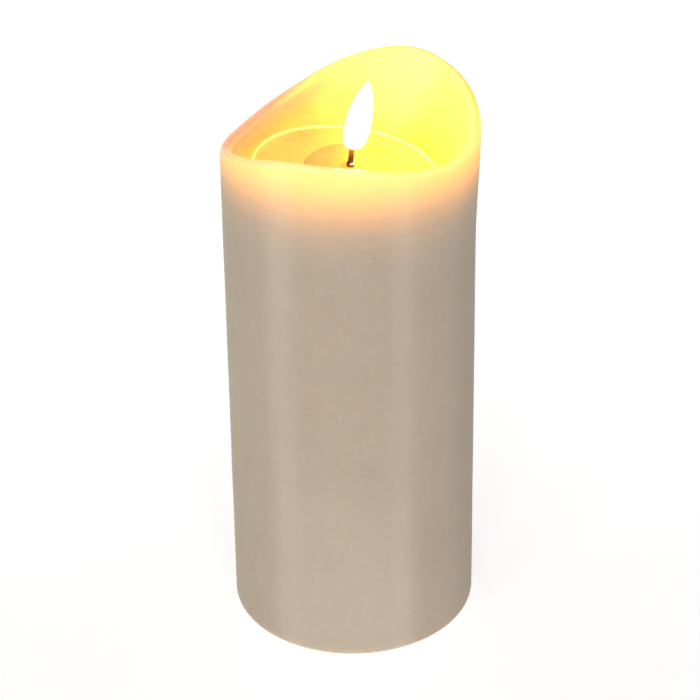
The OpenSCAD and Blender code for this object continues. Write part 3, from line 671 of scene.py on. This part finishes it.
def dress_cad():
    white = plastic_material("white_moulding", (0.62, 0.60, 0.55), (0.72, 0.70, 0.65))
    base = plastic_material("ivory_moulding", (0.60, 0.54, 0.44), (0.70, 0.64, 0.53))
    black = plastic_material("black_moulding", (0.02, 0.02, 0.022), (0.035, 0.035, 0.038), 0.4)
    chips = plastic_material("chip_epoxy", (0.015, 0.015, 0.016), (0.03, 0.03, 0.032), 0.55)
    red = plastic_material("red_insulation", (0.45, 0.02, 0.015), (0.58, 0.03, 0.02), 0.35)
    dark = plastic_material("black_insulation", (0.012, 0.012, 0.013), (0.025, 0.025, 0.026), 0.35)
    blue = plastic_material("capacitor_sleeve", (0.01, 0.015, 0.08), (0.02, 0.025, 0.12), 0.25)
    resin = plastic_material("led_resin", (0.85, 0.62, 0.18), (0.95, 0.75, 0.28), 0.2)
    screw = metal_material("zinc_screw", (0.45, 0.44, 0.42), (0.60, 0.59, 0.57), 0.34)
    nickel = metal_material("nickel_contact", (0.52, 0.50, 0.46), (0.66, 0.64, 0.60), 0.26)
    tin = metal_material("tinned_metal", (0.55, 0.55, 0.55), (0.70, 0.70, 0.70), 0.3)
    board = board_material()
    cell = cell_material()
    wears = {
        "lamp_holder": white, "base_cap": white, "base_plate": base, "battery_door": base,
        "switch_knob": black, "controller_chip": chips, "resistors": chips, "capacitor": blue,
        "flame_led": resin, "lamp_wire_red": red, "battery_wire_red": red,
        "lamp_wire_black": dark, "battery_wire_black": dark, "lamp_screws": screw,
        "case_screws": screw, "board_screws": screw, "bridge_contact": nickel,
        "positive_contact": nickel, "negative_contact": nickel, "contact_springs": nickel,
        "led_pins": tin, "timer_crystal": tin, "switch_frame": tin, "lamp_board": board,
        "circuit_board": board, "battery_1": cell, "battery_2": cell,
    }
    for node, material in wears.items():
        slots = nodes[node].data.materials
        for k in range(len(slots)):
            slots[k] = material


# ---------------------------------------------------------------- stage, light and camera

def make_floor():
    """Pale and plain, lit a little more towards the back, so that it fades into the backdrop."""
    mesh = bpy.data.meshes.new("floor")
    half = 3.0
    corners_at = [(-half, -half, 0), (half, -half, 0), (half, half, 0), (-half, half, 0)]
    mesh.from_pydata(corners_at, [], [(0, 1, 2, 3)])
    floor = bpy.data.objects.new("floor", mesh)
    bpy.context.scene.collection.objects.link(floor)
    n = Nodes("pale_floor")
    tone = n.noise(3, 2)
    n.link(n.ramp(tone, [(0.3, (0.88, 0.88, 0.88)), (0.7, (0.90, 0.90, 0.90))]), "Base Color")
    n.set({"Roughness": 0.9, "Specular IOR Level": 0.1})
    n.emit(n.spread(n.axis("Y"), -0.10, 0.25, 0.65, 0.85))
    # the floor hides nothing from below, so that the base can be looked at
    below = n.node("ShaderNodeNewGeometry").outputs["Backfacing"]
    clear = n.node("ShaderNodeBsdfTransparent").outputs[0]
    both = n.node("ShaderNodeMixShader", {0: below, 1: n.shader.outputs[0], 2: clear}).outputs[0]
    n.tree.links.new(both, n.tree.nodes["Material Output"].inputs["Surface"])
    mesh.materials.append(n.material)


def softbox(name, turn, height, distance, size, power):
    """A soft lamp, at an angle from the front and an elevation, that faces the candle."""
    light = bpy.data.lights.new(name, "AREA")
    light.shape = "RECTANGLE"
    light.size, light.size_y = size
    light.energy = power
    obj = bpy.data.objects.new(name, light)
    a, e = math.radians(turn), math.radians(height)
    out = Vector((math.sin(a) * math.cos(e), -math.cos(a) * math.cos(e), math.sin(e)))
    obj.location = out * distance + Vector((0, 0, 90 * MM))
    obj.rotation_euler = (-out).to_track_quat("-Z", "Y").to_euler()
    bpy.context.scene.collection.objects.link(obj)


def make_lights():
    world = bpy.data.worlds.new("studio")
    world.use_nodes = True
    world.node_tree.nodes["Background"].inputs[0].default_value = rgba(1, 1, 1)
    world.node_tree.nodes["Background"].inputs[1].default_value = 0.08
    bpy.context.scene.world = world
    softbox("overhead", 0, 90, 1.5, (1.6, 1.6), 4)
    softbox("front_left", -35, 14, 1.1, (0.25, 0.7), 1.3)
    softbox("front", -12, 14, 1.1, (0.25, 0.7), 2.2)
    softbox("front_right", 12, 14, 1.1, (0.25, 0.7), 2.3)
    heart = LAMP @ Vector((1.4 * MM, 0, WICK_GAP + 0.75 * FLAME_H))
    lamps = (("flame_all_round", "POINT", 0.07), ("flame_lean_side", "AREA", 0.05))
    for name, kind, power in lamps:
        flame = bpy.data.lights.new(name, kind)
        flame.energy = power
        flame.color = (1.0, 0.56, 0.15)
        if kind == "POINT":
            flame.shadow_soft_size = 2.5 * MM
        else:
            flame.shape = "DISK"
            flame.size = 4 * MM
        obj = bpy.data.objects.new(name, flame)
        obj.location = heart
        obj.rotation_euler = Vector((1, 0.6, -0.15)).to_track_quat("-Z", "Y").to_euler()
        bpy.context.scene.collection.objects.link(obj)


def make_camera():
    """The fitted view: from in front and above, with the candle turned a little in the frame."""
    distance, elevation, roll = 0.8813, math.radians(31.556), math.radians(0.745)
    aim = Vector((0, 0, 0.0905))
    camera = bpy.data.objects.new("camera", bpy.data.cameras.new("camera"))
    camera.data.sensor_width = 36
    camera.data.lens = 147.1
    camera.data.shift_x = -0.0013
    camera.data.shift_y = -0.0041
    camera.data.clip_start = 0.01
    place = aim + Vector((0, -math.cos(elevation), math.sin(elevation))) * distance
    look = (aim - place).to_track_quat("-Z", "Y").to_matrix()
    camera.matrix_world = Matrix.Translation(place) @ look.to_4x4() @ Matrix.Rotation(-roll, 4, "Z")
    bpy.context.scene.collection.objects.link(camera)
    bpy.context.scene.camera = camera


make_camera()
make_wax()
make_pool()
make_flame()
make_wick()
make_ferrule()
dress_cad()
make_floor()
make_lights()
bpy.context.scene.view_settings.view_transform = "Standard"
